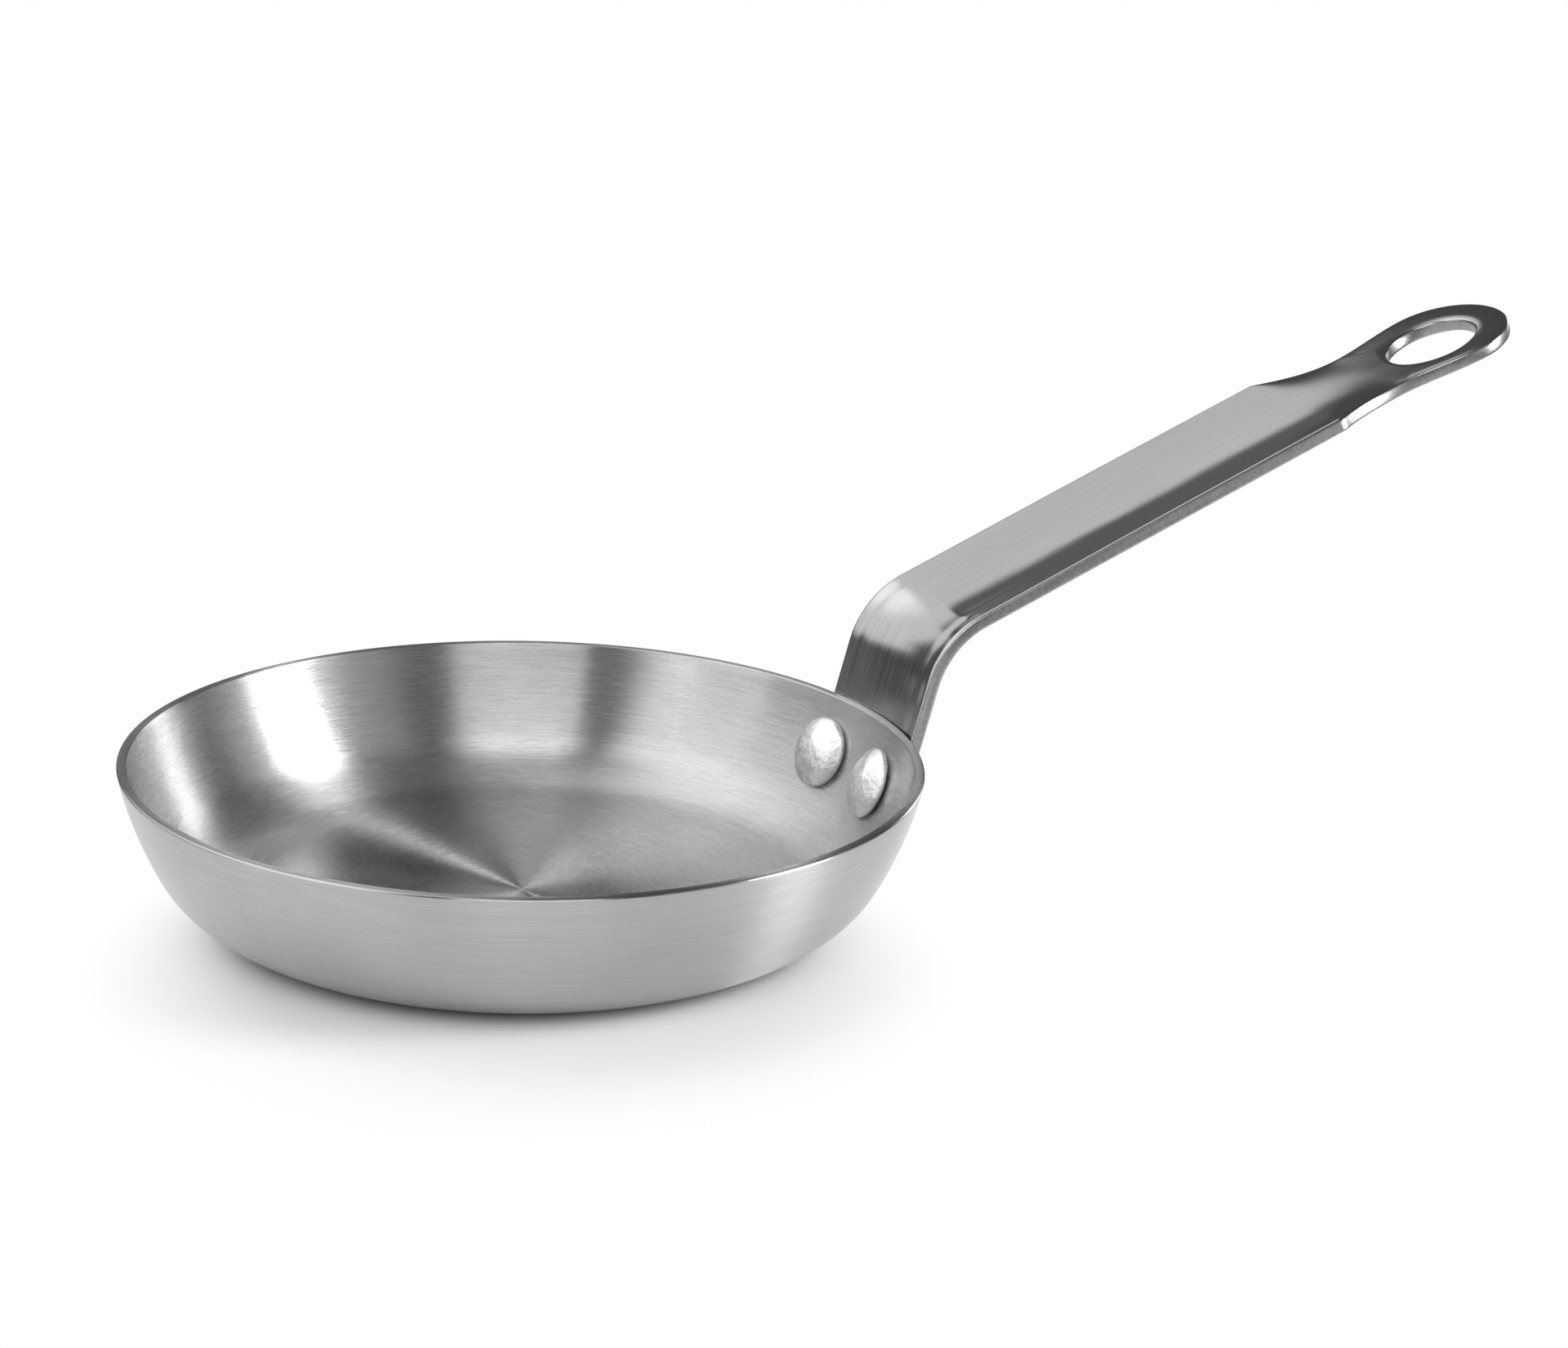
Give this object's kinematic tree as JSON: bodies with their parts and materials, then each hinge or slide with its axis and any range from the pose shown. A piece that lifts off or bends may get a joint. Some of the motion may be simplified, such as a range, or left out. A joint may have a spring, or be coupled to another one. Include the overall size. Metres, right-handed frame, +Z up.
{
  "type": "blini pan",
  "caption": "Small shallow round frying pan of brushed steel, with a rising riveted strip handle that ends in a hanging eye.",
  "frame": {"origin": "centre of the flat base, on the table", "axes": "+Z up along the bowl's axis, +X along the handle's run, away from the bowl"},
  "size_m": [0.2352, 0.1196, 0.0813],
  "materials": {
    "bowl_steel": "satin, brushed round the bowl's axis inside and out",
    "handle_steel": "rolled strip, tumbled satin, with sheared edges",
    "rivet_steel": "hammered satin domes"
  },
  "bodies": {
    "root": {"bowl": "bowl_steel", "handle": "handle_steel", "rivet_far": "rivet_steel", "rivet_near": "rivet_steel"}
  },
  "joints": []
}
